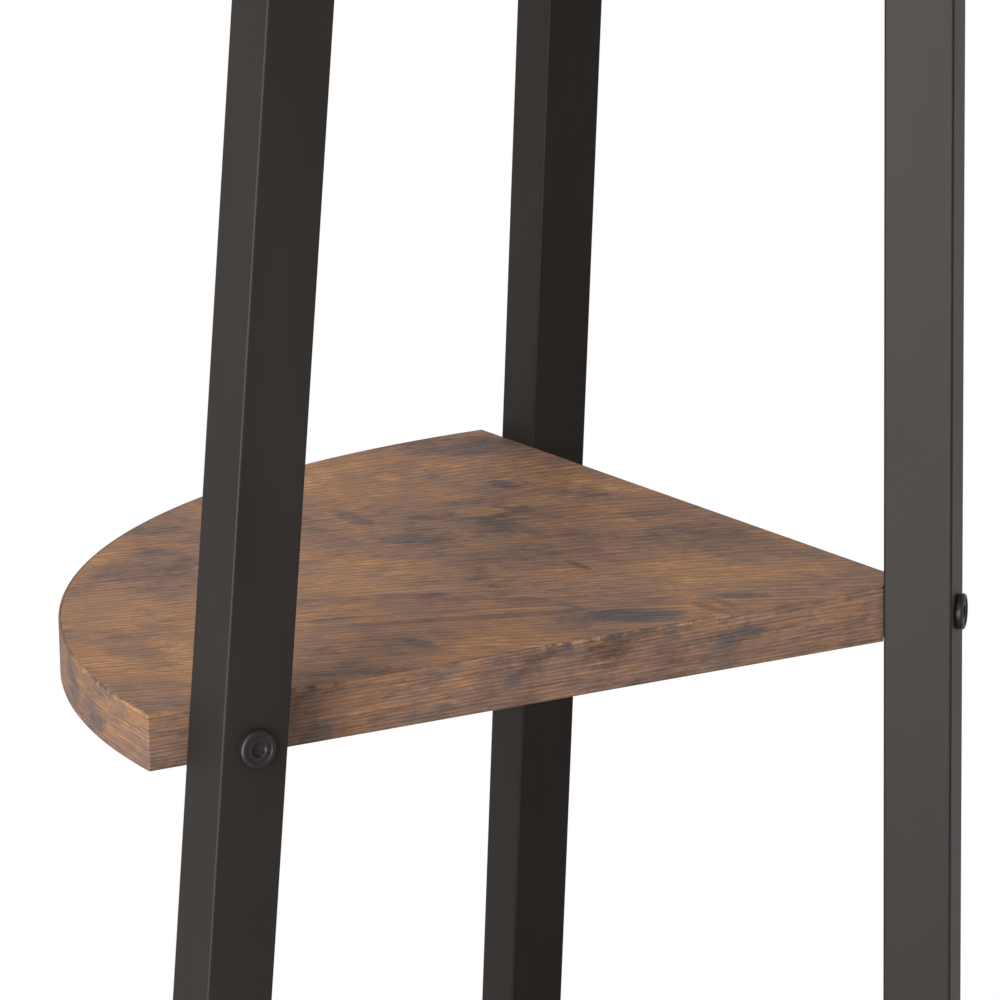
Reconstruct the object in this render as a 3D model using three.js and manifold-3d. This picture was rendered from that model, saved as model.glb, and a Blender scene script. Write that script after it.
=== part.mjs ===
import * as THREE from "three";
import { mergeVertices } from "three/addons/utils/BufferGeometryUtils.js";
import Module from "manifold-3d";

// Corner shelf unit: quarter-round boards bolted to three square steel tubes.
// The rear post stands upright in the corner of the room, turned by 45 degrees.
// Two legs stand along the walls and lean in to the corner, so the boards get smaller upwards.
// Millimetres, +Z up. The origin is the rear post's axis on the floor, and the walls run along +X and +Y.

// Driving dimensions: square tube
const TUBE = 25;
const TUBE_WALL = 1.5;
const TUBE_CORNER = 2;
const TUBE_TOP = 1400;

// Driving dimensions: boards, counted from the bottom
const BOARD = 20;
const BOARD_ARRIS = 0.8;
const SHELF_COUNT = 5;
const SHELF_PITCH = 310;
const FIRST_SHELF_TOP = 110;
const FIRST_SHELF_RADIUS = 343.5;
const RADIUS_STEP = 31;
const LEG_INSET = 28;
const ARC_SETBACK = 4;

// Driving dimensions: bolts and the threaded barrels in the board edges
const BOLT_SHANK = 6;
const BOLT_HEAD = 14;
const BOLT_HEAD_HEIGHT = 3.2;
const BOLT_HEAD_BEVEL = 1.1;
const BOLT_FACE = 12;
const BOLT_DISH = 9.8;
const BOLT_DISH_FLOOR = 6.4;
const BOLT_DISH_DEPTH = 0.3;
const BOLT_GRIP_IN_BOARD = 14;
const BOLT_SOCKET = 4.6;
const BOLT_SOCKET_DEPTH = 1.8;
const BARREL = 9.6;
const BARREL_LENGTH = 15;
const BARREL_WELL = 17;
const TURNED_CHAMFER = 0.6;

// Driving dimensions: caps, plugs and levelling feet
const CAP_HEIGHT = 3;
const CAP_BAND = 0.4;
const PLUG_FLANGE = 3;
const SPIGOT = 22;
const FOOT_STEM = 8;
const FOOT_STEM_LENGTH = 30;
const FOOT_HEX = 13;
const FOOT_HEX_HEIGHT = 5;
const PAD = 30;
const PAD_HEIGHT = 9;
const PAD_RIM = 3.5;
const PAD_NECK = 17;
const PAD_CHAMFER = 0.8;
const PAD_SOCKET_DEPTH = 5;

// Clearances and facets
const GAP = 0.3;
const OVERCUT = 1;
const HOLE_SIDES = 12;
const HEX_SIDES = 6;
const BOLT_SIDES = 14;
const PAD_SIDES = 24;
const CORNER_STEPS = 3;
const ARC_STEPS = 32;

// Worked out from the driving dimensions
const LEAN = RADIUS_STEP / SHELF_PITCH;
const POST_CUT = (TUBE - 2 * TUBE_CORNER) / Math.SQRT2;
const BOARD_CORNER = (TUBE / 2 + GAP - POST_CUT / Math.SQRT2) / Math.SQRT2;
const LEG_OFFSET = BOARD_CORNER - GAP - TUBE / 2;
const LEG_FOOT = BOARD_CORNER + radiusAt(0) - LEG_INSET;
const PLUG_BOTTOM = PAD_HEIGHT + FOOT_HEX_HEIGHT + 2 * GAP;
const TUBE_BOTTOM = PLUG_BOTTOM + PLUG_FLANGE + GAP;

// Each column has its own frame: y points at the board, x runs along the tube's face.
const COLUMNS = [
  { name: "left_leg", side: "left", turn: 0, foot: [LEG_FOOT, LEG_OFFSET], slope: -LEAN },
  { name: "right_leg", side: "right", turn: -Math.PI / 2, foot: [LEG_OFFSET, LEG_FOOT], slope: LEAN },
  { name: "rear_post", side: "rear", turn: -Math.PI / 4, foot: [0, 0], slope: 0 },
];

const STEEL = { color: 0x2c2723, roughness: 0.55, metalness: 0.4 };
const WOOD = { color: 0x866956, roughness: 0.6, metalness: 0 };
const BOLT_BLACK = { color: 0x141414, roughness: 0.4, metalness: 0.8 };
const ZINC = { color: 0xb9b7b0, roughness: 0.35, metalness: 1 };
const PLASTIC = { color: 0x161616, roughness: 0.6, metalness: 0 };

const wasm = await Module();
wasm.setup();

function radiusAt(height) {
  return FIRST_SHELF_RADIUS - (RADIUS_STEP * (height - FIRST_SHELF_TOP)) / SHELF_PITCH;
}

function shelfTop(index) {
  return FIRST_SHELF_TOP + SHELF_PITCH * index;
}

function boltHeight(index) {
  return shelfTop(index) - BOARD / 2;
}

// Joining and cutting

function toSolid(geometry) {
  const plain = geometry.clone();
  plain.deleteAttribute("normal");
  plain.deleteAttribute("uv");
  const merged = mergeVertices(plain, 1e-4);
  const mesh = new wasm.Mesh({
    numProp: 3,
    vertProperties: new Float32Array(merged.attributes.position.array),
    triVerts: new Uint32Array(merged.index.array),
  });
  return new wasm.Manifold(mesh);
}

function toGeometry(solid) {
  const mesh = solid.getMesh();
  const geometry = new THREE.BufferGeometry();
  geometry.setAttribute("position", new THREE.BufferAttribute(mesh.vertProperties, 3));
  geometry.setIndex(new THREE.BufferAttribute(mesh.triVerts, 1));
  const faceted = geometry.toNonIndexed();
  faceted.computeVertexNormals();
  return faceted;
}

function join(...geometries) {
  return toGeometry(geometries.map(toSolid).reduce((whole, piece) => whole.add(piece)));
}

function cut(geometry, ...cutters) {
  return toGeometry(cutters.map(toSolid).reduce((left, cutter) => left.subtract(cutter), toSolid(geometry)));
}

// Basic forms

// Square outline with rounded corners, as wide as width along x and as deep as depth along y.
function squareOutline(width, depth, radius, Kind = THREE.Shape) {
  const x = width / 2 - radius;
  const y = depth / 2 - radius;
  const outline = new Kind();
  outline.absarc(x, y, radius, 0, Math.PI / 2, false);
  outline.absarc(-x, y, radius, Math.PI / 2, Math.PI, false);
  outline.absarc(-x, -y, radius, Math.PI, 1.5 * Math.PI, false);
  outline.absarc(x, -y, radius, 1.5 * Math.PI, 2 * Math.PI, false);
  outline.closePath();
  return outline;
}

// Prism with level ends between two heights, whose section slides along x by slope for each mm of height.
function leaningPrism(outline, bottom, top, slope) {
  const prism = new THREE.ExtrudeGeometry(outline, {
    depth: top - bottom,
    bevelEnabled: false,
    curveSegments: CORNER_STEPS,
  });
  prism.translate(0, 0, bottom);
  const shear = new THREE.Matrix4().set(1, 0, slope, 0, 0, 1, 0, 0, 0, 0, 1, 0, 0, 0, 0, 1);
  return prism.applyMatrix4(shear);
}

// A level cut through a leaning tube is longer along the lean than the tube is wide.
function levelWidth(width, slope) {
  return width * Math.sqrt(1 + slope * slope);
}

function cylinderAlongY(diameter, from, to, sides) {
  const cylinder = new THREE.CylinderGeometry(diameter / 2, diameter / 2, to - from, sides);
  return cylinder.translate(0, (from + to) / 2, 0);
}

// Solid of revolution about y through points of radius and place along y, given from its low end.
function turnedAlongY(points, sides) {
  return new THREE.LatheGeometry(points.map(([radius, y]) => new THREE.Vector2(radius, y)), sides);
}

// The same about z, from the bottom up.
function turned(points, sides) {
  return turnedAlongY(points, sides).rotateX(Math.PI / 2);
}

// Pieces of one column, in the column's own frame

function tube(column) {
  const inner = TUBE - 2 * TUBE_WALL;
  const outline = squareOutline(levelWidth(TUBE, column.slope), TUBE, TUBE_CORNER);
  const bore = squareOutline(levelWidth(inner, column.slope), inner, TUBE_CORNER - TUBE_WALL, THREE.Path);
  outline.holes.push(bore);
  const blank = leaningPrism(outline, TUBE_BOTTOM, TUBE_TOP, column.slope);
  const drills = [];
  for (let i = 0; i < SHELF_COUNT; i++) {
    const drill = cylinderAlongY(BOLT_SHANK + 2 * GAP, -TUBE, TUBE, HOLE_SIDES);
    drills.push(drill.translate(column.slope * boltHeight(i), 0, boltHeight(i)));
  }
  return cut(blank, ...drills);
}

function spigot(bottom, top, slope) {
  const width = TUBE - 2 * TUBE_WALL - 2 * GAP;
  return leaningPrism(squareOutline(levelWidth(width, slope), width, TUBE_CORNER), bottom, top, slope);
}

function flange(bottom, top, slope) {
  return leaningPrism(squareOutline(levelWidth(TUBE, slope), TUBE, TUBE_CORNER), bottom, top, slope);
}

// Closes the tube's top: a low crowned cap on a spigot that follows the tube's lean.
function topCap(column) {
  const bottom = TUBE_TOP + GAP;
  const crownHeight = (CAP_HEIGHT - CAP_BAND) / 2;
  const side = TUBE - 2 * TUBE_CORNER;
  const crown = new THREE.ExtrudeGeometry(squareOutline(side, side, TUBE_CORNER), {
    depth: CAP_BAND,
    bevelThickness: crownHeight,
    bevelSize: TUBE_CORNER,
    bevelSegments: 1,
    curveSegments: CORNER_STEPS,
  });
  crown.translate(column.slope * TUBE_TOP, 0, bottom + crownHeight);
  const rim = flange(bottom, bottom + crownHeight + CAP_BAND, column.slope);
  return join(rim, crown, spigot(TUBE_TOP - SPIGOT, bottom + GAP, column.slope));
}

// Closes the tube's foot: its spigot leans with the tube, and its threaded hole is upright.
function footPlug(column) {
  const top = TUBE_BOTTOM + SPIGOT;
  const body = join(
    flange(PLUG_BOTTOM, TUBE_BOTTOM - GAP, column.slope),
    spigot(TUBE_BOTTOM - 2 * GAP, top, column.slope),
  );
  const hole = cylinderAlongY(FOOT_STEM + 2 * GAP, PLUG_BOTTOM - OVERCUT, top + OVERCUT, HOLE_SIDES);
  hole.rotateX(Math.PI / 2);
  return cut(body, hole.translate(footOffset(column), 0, 0));
}

// The levelling foot stands upright under the middle of the tube's lower end.
function footOffset(column) {
  return column.slope * TUBE_BOTTOM;
}

function footPad() {
  const socket = FOOT_STEM / 2 + 2 * GAP;
  return turned(
    [
      [0, 0],
      [PAD / 2 - PAD_CHAMFER, 0],
      [PAD / 2, PAD_CHAMFER],
      [PAD / 2, PAD_RIM],
      [PAD / 2 - PAD_CHAMFER, PAD_RIM + PAD_CHAMFER],
      [PAD_NECK / 2 + PAD_CHAMFER, PAD_HEIGHT - 2 * PAD_CHAMFER],
      [PAD_NECK / 2, PAD_HEIGHT],
      [socket, PAD_HEIGHT],
      [socket, PAD_HEIGHT - PAD_SOCKET_DEPTH],
      [0, PAD_HEIGHT - PAD_SOCKET_DEPTH],
    ],
    PAD_SIDES,
  );
}

// Threaded stem with a hexagon collar, whose round lower end turns in the pad's socket.
function footStem() {
  const bottom = PAD_HEIGHT - PAD_SOCKET_DEPTH + GAP;
  const collarBottom = PAD_HEIGHT + GAP;
  const collarTop = collarBottom + FOOT_HEX_HEIGHT;
  const top = collarTop + FOOT_STEM_LENGTH;
  const stem = turned(
    [
      [0, bottom],
      [FOOT_STEM / 2 - TURNED_CHAMFER, bottom],
      [FOOT_STEM / 2, bottom + TURNED_CHAMFER],
      [FOOT_STEM / 2, top - TURNED_CHAMFER],
      [FOOT_STEM / 2 - TURNED_CHAMFER, top],
      [0, top],
    ],
    HOLE_SIDES,
  );
  const acrossCorners = (2 * FOOT_HEX) / Math.sqrt(3);
  const collar = cylinderAlongY(acrossCorners, collarBottom, collarTop, HEX_SIDES).rotateX(Math.PI / 2);
  return join(stem, collar);
}

// Pan-head bolt along y: the head's bearing face is at y = 0 and its shank points at the board.
function bolt() {
  const length = TUBE + 2 * GAP + BOLT_GRIP_IN_BOARD;
  const face = -BOLT_HEAD_HEIGHT;
  const body = turnedAlongY(
    [
      [0, face + BOLT_DISH_DEPTH],
      [BOLT_DISH_FLOOR / 2, face + BOLT_DISH_DEPTH],
      [BOLT_DISH / 2, face],
      [BOLT_FACE / 2, face],
      [BOLT_HEAD / 2, face + BOLT_HEAD_BEVEL],
      [BOLT_HEAD / 2, 0],
      [BOLT_SHANK / 2, 0],
      [BOLT_SHANK / 2, length - TURNED_CHAMFER],
      [BOLT_SHANK / 2 - TURNED_CHAMFER, length],
      [0, length],
    ],
    BOLT_SIDES,
  );
  return cut(body, cylinderAlongY(BOLT_SOCKET, face - OVERCUT, face + BOLT_SOCKET_DEPTH, HEX_SIDES));
}

// Threaded barrel along y, sunk in the board's edge just below its face.
function barrel() {
  const inner = BOLT_SHANK / 2 + GAP;
  const outer = BARREL / 2;
  return turnedAlongY(
    [
      [inner, 0],
      [outer - TURNED_CHAMFER, 0],
      [outer, TURNED_CHAMFER],
      [outer, BARREL_LENGTH],
      [inner, BARREL_LENGTH],
      [inner, 0],
    ],
    HOLE_SIDES,
  );
}

// Board with its corner cut square to the rear post and a well in each bearing edge for a barrel.
// The arc's centre stands a little behind the corner, so the front edge is slightly flatter than a quarter circle.
function shelfBoard(index) {
  const radius = radiusAt(shelfTop(index));
  const near = BOARD_CORNER + POST_CUT;
  const far = BOARD_CORNER + radius;
  const centre = BOARD_CORNER - ARC_SETBACK;
  const arc = Math.hypot(radius + ARC_SETBACK, ARC_SETBACK);
  const swing = Math.atan2(ARC_SETBACK, radius + ARC_SETBACK);
  const outline = new THREE.Shape();
  outline.moveTo(near, BOARD_CORNER);
  outline.lineTo(far, BOARD_CORNER);
  outline.absarc(centre, centre, arc, swing, Math.PI / 2 - swing, false);
  outline.lineTo(BOARD_CORNER, near);
  outline.closePath();
  const slab = new THREE.ExtrudeGeometry(outline, {
    depth: BOARD - 2 * BOARD_ARRIS,
    bevelThickness: BOARD_ARRIS,
    bevelSize: BOARD_ARRIS,
    bevelOffset: -BOARD_ARRIS,
    bevelSegments: 1,
    curveSegments: ARC_STEPS,
  });
  slab.translate(0, 0, shelfTop(index) - BOARD + BOARD_ARRIS);
  const wells = COLUMNS.map((column) => {
    const well = cylinderAlongY(BARREL + 2 * GAP, 0, TUBE / 2 + GAP + BARREL_WELL, HOLE_SIDES);
    well.translate(column.slope * boltHeight(index), 0, boltHeight(index));
    well.rotateZ(column.turn);
    return well.translate(column.foot[0], column.foot[1], 0);
  });
  return cut(slab, ...wells);
}

// Assembly

function piece(name, geometry, finish) {
  const mesh = new THREE.Mesh(geometry, new THREE.MeshStandardMaterial(finish));
  mesh.name = name;
  return mesh;
}

const BOLT = bolt();
const BARREL_NUT = barrel();
const PAD_FOOT = footPad();
const STEM = footStem();

function columnGroup(column) {
  const group = new THREE.Group();
  group.position.set(column.foot[0], column.foot[1], 0);
  group.rotation.z = column.turn;
  group.add(piece(column.name, tube(column), STEEL));
  group.add(piece(`${column.side}_top_cap`, topCap(column), PLASTIC));
  group.add(piece(`${column.side}_foot_plug`, footPlug(column), PLASTIC));
  const pad = piece(`${column.side}_foot_pad`, PAD_FOOT, PLASTIC);
  const stem = piece(`${column.side}_foot_stem`, STEM, ZINC);
  for (const part of [pad, stem]) {
    part.position.x = footOffset(column);
    group.add(part);
  }
  for (let i = 0; i < SHELF_COUNT; i++) {
    const height = boltHeight(i);
    const screw = piece(`bolt_${column.side}_${i + 1}`, BOLT, BOLT_BLACK);
    screw.position.set(column.slope * height, -TUBE / 2 - GAP, height);
    group.add(screw);
    const nut = piece(`barrel_${column.side}_${i + 1}`, BARREL_NUT, ZINC);
    nut.position.set(column.slope * height, TUBE / 2 + 3 * GAP, height);
    group.add(nut);
  }
  return group;
}

const unit = new THREE.Group();
for (let i = 0; i < SHELF_COUNT; i++) {
  unit.add(piece(`shelf_${i + 1}`, shelfBoard(i), WOOD));
}
for (const column of COLUMNS) {
  unit.add(columnGroup(column));
}

export default unit;
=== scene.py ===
"""Looks of a corner shelf unit: printed boards with edge bands, coated tubes, bolts, caps and feet.

Metres, +Z up. The frame's CAD nodes give every place, and each piece here stands where its node is.
"""

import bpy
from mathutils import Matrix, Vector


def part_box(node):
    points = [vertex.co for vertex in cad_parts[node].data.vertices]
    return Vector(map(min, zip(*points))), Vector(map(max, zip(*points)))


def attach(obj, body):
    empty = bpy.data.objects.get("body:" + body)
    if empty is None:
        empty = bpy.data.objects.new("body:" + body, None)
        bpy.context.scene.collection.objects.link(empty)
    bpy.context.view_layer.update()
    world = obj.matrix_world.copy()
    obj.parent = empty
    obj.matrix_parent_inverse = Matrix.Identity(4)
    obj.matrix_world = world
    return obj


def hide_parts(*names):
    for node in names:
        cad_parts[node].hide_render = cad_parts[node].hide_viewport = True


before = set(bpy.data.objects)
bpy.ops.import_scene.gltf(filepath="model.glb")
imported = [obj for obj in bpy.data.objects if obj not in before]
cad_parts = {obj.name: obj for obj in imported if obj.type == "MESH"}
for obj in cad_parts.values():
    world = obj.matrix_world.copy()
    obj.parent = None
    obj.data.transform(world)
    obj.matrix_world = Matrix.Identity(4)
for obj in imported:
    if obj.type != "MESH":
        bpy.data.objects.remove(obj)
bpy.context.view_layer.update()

import math

import bmesh
import bpy
from mathutils import Matrix, Vector

bl_info = {
    "name": "Corner Shelf Unit",
    "version": (1, 0, 0),
    "blender": (4, 5, 0),
    "location": "View3D > Sidebar > Shelf",
    "description": "Dresses the corner shelf unit's frame and sets its stage",
    "category": "Add Mesh",
}

MM = 0.001
SHELVES = sorted(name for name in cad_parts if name.startswith("shelf_"))
PHOTOGRAPHED_SHELF = "shelf_2"
TURNS = {"left": 0.0, "right": -math.pi / 2, "rear": -math.pi / 4}
TUBE_NODES = {"left": "left_leg", "right": "right_leg", "rear": "rear_post"}
ALONG_Y = Matrix.Rotation(-math.pi / 2, 4, "X")
SHARP_ANGLE = math.radians(32)

# Clearances and small edges
GAP = 0.3 * MM
OVERCUT = 1 * MM
GLUE = 0.04 * MM
TIP = 0.2 * MM
CHAMFER = 0.6 * MM
SPIGOT_CORNER = 1 * MM

# Faces round each turned shape
HOLE_SIDES = 32
BOLT_SIDES = 48
PAD_SIDES = 72
STEM_SIDES = 24
FLOOR_SIDES = 96
THREAD_ROWS = 6

# Camera of the photograph, found by fitting the board and the three tubes to it
CAMERA_PLACE = Vector((-1.42059, 1.01081, 0.86618))
CAMERA_HEADING = math.radians(-30.389)
CAMERA_DOWN = math.radians(13.360)
CAMERA_ROLL = math.radians(-0.995)
CAMERA_LENS = 177.6
CAMERA_SENSOR = 36.0

# Floor: a disc with a wide ring round it, plain near the middle and white further out
FLOOR_CENTRE = (0.15, 0.15, 0.0)
FLOOR_RADII = (0.5, 60.0)
FLOOR_FADE = (0.28, 0.66)
WHITE = (1.0, 1.0, 1.0, 1.0)


def box_size(node):
    low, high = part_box(node)
    return high - low


def middle(node):
    low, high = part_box(node)
    return (low + high) / 2


def heights(node):
    low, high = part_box(node)
    return low.z, high.z


def on_screen(red, green, blue):
    """A colour as a screen shows it, each part from 0 to 255, in Blender's linear numbers."""
    shares = [part / 255 for part in (red, green, blue)]
    return tuple(s / 12.92 if s <= 0.04045 else ((s + 0.055) / 1.055) ** 2.4 for s in shares)


def times(parts, factor):
    return [factor * part for part in parts]


def even(scale):
    """The same noise scale along all three axes."""
    return (scale, scale, scale)


# Settings


def length(name, description, default):
    kind = {"min": 0.0, "subtype": "DISTANCE", "unit": "LENGTH", "precision": 5}
    return bpy.props.FloatProperty(name=name, description=description, default=default, **kind)


def colour(name, description, default):
    kind = {"min": 0.0, "max": 1.0, "size": 3, "subtype": "COLOR"}
    return bpy.props.FloatVectorProperty(name=name, description=description, default=default, **kind)


def watts(name, description, default):
    kind = {"min": 0.0, "subtype": "POWER", "unit": "POWER"}
    return bpy.props.FloatProperty(name=name, description=description, default=default, **kind)


def number(name, description, default):
    return bpy.props.FloatProperty(name=name, description=description, default=default, min=0.0)


def count(name, description, default, least):
    return bpy.props.IntProperty(name=name, description=description, default=default, min=least)


class BoardSettings(bpy.types.PropertyGroup):
    """Sizes and colours of the boards"""

    band: length("Band", "Thickness of the edge band glued round a board", 0.8 * MM)
    arris: length("Arris", "Radius of the band's upper and lower outer edges", 0.6 * MM)
    groove: length("Groove", "Depth of the groove between panel and band", 0.12 * MM)
    corner: length("Corner", "Radius where a straight edge meets the arc, in plan", 0.7 * MM)
    setback: length("Arc Setback", "How far the arc's centre stands behind the board's corner", 4 * MM)
    arc_steps: count("Arc Steps", "Faces along the arc", 96, 8)
    well: length("Well", "Diameter of a barrel's hole", box_size("barrel_left_1").x + 2 * GAP)
    well_depth: length("Well Depth", "Depth of a barrel's hole", 17 * MM)
    deep_brown: colour("Deep Brown", "Print colour in the darkest streaks", on_screen(92, 70, 59))
    grey_brown: colour("Grey Brown", "Print colour of the dull areas", on_screen(119, 95, 83))
    brown: colour("Brown", "Print colour of the middle tone", on_screen(136, 105, 86))
    orange_brown: colour("Orange Brown", "Print colour of the warm areas", on_screen(153, 113, 83))
    tan: colour("Tan", "Print colour of the lightest streaks", on_screen(174, 134, 96))
    smoke: colour("Smoke", "Slate colour of the smoky patches", on_screen(82, 79, 82))
    seam: colour("Seam", "Light colour of the worn upper edge", on_screen(186, 146, 106))


class TubeSettings(bpy.types.PropertyGroup):
    """Sizes and colours of the square tubes, their caps and plugs"""

    side: length("Side", "Outer width of the square tube", box_size("left_leg").y)
    wall: length("Wall", "Wall thickness of the tube", 1.5 * MM)
    corner: length("Corner", "Outer corner radius of the tube", 1 * MM)
    inner_corner: length("Inner Corner", "Corner radius inside the tube", 0.2 * MM)
    hole: length("Hole", "Diameter of the bolt holes through the tube", 6.6 * MM)
    corner_steps: count("Corner Steps", "Faces round one corner", 6, 1)
    cap_crown: length("Cap Crown", "Height of the cap's rounded top", 1.6 * MM)
    cap_ease: length("Cap Ease", "Size of the eased edge under the cap's rim", 0.15 * MM)
    plug_edge: length("Plug Edge", "Size of the plug's rounded lower edge", 0.5 * MM)
    coat: colour("Powder Coat", "Colour of the powder coat", on_screen(39, 35, 33))
    plastic: colour("Plastic", "Colour of caps, plugs and pads", on_screen(30, 29, 29))


class BoltSettings(bpy.types.PropertyGroup):
    """Sizes and colours of the bolts and barrels"""

    head: length("Head", "Diameter of the bolt's head", 13.3 * MM)
    head_height: length("Head Height", "Height of the bolt's head", 2.7 * MM)
    bevel: length("Bevel", "Size of the rounded bevel round the head", 1.1 * MM)
    seat_ease: length("Seat Ease", "Size of the eased edge under the head", 0.15 * MM)
    shank: length("Shank", "Diameter of the shank", 6 * MM)
    dish: length("Dish", "Diameter of the shallow dish in the head", 10.6 * MM)
    dish_floor: length("Dish Floor", "Diameter of the dish's flat floor", 8.6 * MM)
    dish_depth: length("Dish Depth", "Depth of the dish", 0.5 * MM)
    ring_height: length("Ring Height", "Height of the raised ring round the socket", 0.12 * MM)
    socket: length("Socket", "Width across the socket's flats", 4.6 * MM)
    socket_depth: length("Socket Depth", "Depth of the socket below the face", 1.6 * MM)
    black: colour("Black", "Colour of the blackened steel", on_screen(31, 27, 27))
    zinc: colour("Zinc", "Colour of the zinc-plated steel", on_screen(188, 186, 180))


class FootSettings(bpy.types.PropertyGroup):
    """Sizes of the levelling feet"""

    pad: length("Pad", "Diameter of the pad", box_size("rear_foot_pad").x)
    edge: length("Edge", "Size of the pad's rounded edges", 0.8 * MM)
    rim: length("Rim", "Height of the pad's upright rim", 3.5 * MM)
    rim_groove: length("Rim Groove", "Depth of the groove round the rim", 0.35 * MM)
    neck: length("Neck", "Diameter of the pad's neck", 17 * MM)
    socket_depth: length("Socket Depth", "How deep the stem's end sits in the pad", 5 * MM)
    stem: length("Stem", "Outer diameter of the threaded stem", 8 * MM)
    pitch: length("Pitch", "Rise of the thread in one turn", 1.25 * MM)
    thread_depth: length("Thread Depth", "Depth of the thread", 0.6 * MM)
    collar: length("Collar", "Width across the collar's flats", 13 * MM)
    collar_height: length("Collar Height", "Height of the hexagon collar", 5 * MM)
    collar_ease: length("Collar Ease", "Size of the collar's eased edges", 0.5 * MM)


class StageSettings(bpy.types.PropertyGroup):
    """Light and floor"""

    floor: colour("Floor", "Colour of the floor near the unit", (0.9, 0.9, 0.9))
    key: watts("Key", "Power of the large soft lamp in front", 81.0)
    low: watts("Low Front", "Power of the low soft lamp in front", 22.0)
    shine: watts("Shine", "Power of the lamp that only gloss shows", 130.0)
    sky: number("Sky", "Strength of the light from all round", 0.48)


# Shader maths


class Wire:
    """A node's socket. Python's operators on it add Math nodes."""

    def __init__(self, shader, socket):
        self.shader = shader
        self.socket = socket

    def __add__(self, other):
        return self.shader.math("ADD", self, other)

    def __sub__(self, other):
        return self.shader.math("SUBTRACT", self, other)

    def __rsub__(self, other):
        return self.shader.math("SUBTRACT", other, self)

    def __mul__(self, other):
        return self.shader.math("MULTIPLY", self, other)

    def __truediv__(self, other):
        return self.shader.math("DIVIDE", self, other)

    def __rtruediv__(self, other):
        return self.shader.math("DIVIDE", other, self)

    def __pow__(self, other):
        return self.shader.math("POWER", self, other)

    def __rpow__(self, other):
        return self.shader.math("POWER", other, self)

    __radd__ = __add__
    __rmul__ = __mul__


class Shader:
    """A node tree under construction. Every node comes from node()."""

    def __init__(self, tree):
        self.tree = tree
        tree.nodes.clear()

    def node(self, kind, settings, inputs, output=0):
        """Adds a node by its type, settings and inputs, each a Wire or a value. Returns one output."""
        made = self.tree.nodes.new(kind)
        for name, value in settings.items():
            if name == "stops":
                self.set_stops(made.color_ramp, value)
            else:
                setattr(made, name, value)
        for name, value in inputs.items():
            if isinstance(value, Wire):
                self.tree.links.new(value.socket, made.inputs[name])
            else:
                made.inputs[name].default_value = value
        return Wire(self, made.outputs[output]) if made.outputs else None

    def set_stops(self, ramp, stops):
        while len(ramp.elements) < len(stops):
            ramp.elements.new(1.0)
        for element, (position, shade) in zip(ramp.elements, stops):
            element.position = position
            element.color = (*shade, 1.0)

    def math(self, operation, *values):
        return self.node("ShaderNodeMath", {"operation": operation}, dict(enumerate(values)))

    def vector_math(self, operation, *values, output=0):
        return self.node("ShaderNodeVectorMath", {"operation": operation}, dict(enumerate(values)), output)

    def piece_place(self):
        """Place on the piece, in metres from its own origin."""
        return self.node("ShaderNodeTexCoord", {}, {}, "Object")

    def grain_place(self):
        """Place on the wood print: along the grain, across it, and the number of the printed face."""
        return self.node("ShaderNodeAttribute", {"attribute_name": "grain"}, {}, "Vector")

    def parts(self, place):
        """The three numbers of a place."""
        split = self.node("ShaderNodeSeparateXYZ", {}, {0: place}).socket.node
        return [Wire(self, output) for output in split.outputs]

    def place(self, x, y, z):
        return self.node("ShaderNodeCombineXYZ", {}, {0: x, 1: y, 2: z})

    def noise(self, place, scales, detail=2.0, roughness=0.5, distortion=0.0):
        """Noise from 0 to 1, whose features along each axis are 1 / scale metres long."""
        inputs = {"Scale": 1.0, "Detail": detail, "Roughness": roughness, "Distortion": distortion}
        stretched = self.vector_math("MULTIPLY", place, scales)
        return self.node("ShaderNodeTexNoise", {}, {"Vector": stretched, **inputs})

    def rise(self, value, low, high):
        """Smoothly from 0 where value is low to 1 where it is high."""
        inputs = {"Value": value, "From Min": low, "From Max": high}
        return self.node("ShaderNodeMapRange", {"interpolation_type": "SMOOTHSTEP"}, inputs)

    def mix(self, factor, first, second):
        """From the first colour at factor 0 to the second at 1."""
        ends = [shade if isinstance(shade, Wire) else (*shade, 1.0) for shade in (first, second)]
        return self.node("ShaderNodeMix", {"data_type": "RGBA"}, {0: factor, 6: ends[0], 7: ends[1]}, 2)

    def dim(self, shade, light):
        """The colour times a number."""
        return self.node("ShaderNodeVectorMath", {"operation": "SCALE"}, {0: shade, "Scale": light})

    def ramp(self, value, stops):
        return self.node("ShaderNodeValToRGB", {"stops": stops}, {0: value})

    def surface(self, shade, roughness, height, depth, strength, settings):
        """Ends a material in one Principled shader. Its bumps are depth high where height is 1."""
        bumps = {"Height": height, "Distance": depth, "Strength": strength}
        normal = self.node("ShaderNodeBump", {}, bumps)
        inputs = {"Base Color": shade, "Roughness": roughness, "Normal": normal, **settings}
        self.end(self.node("ShaderNodeBsdfPrincipled", {}, inputs))

    def end(self, surface, kind="ShaderNodeOutputMaterial"):
        self.node(kind, {}, {"Surface": surface})


# Finishes

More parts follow.
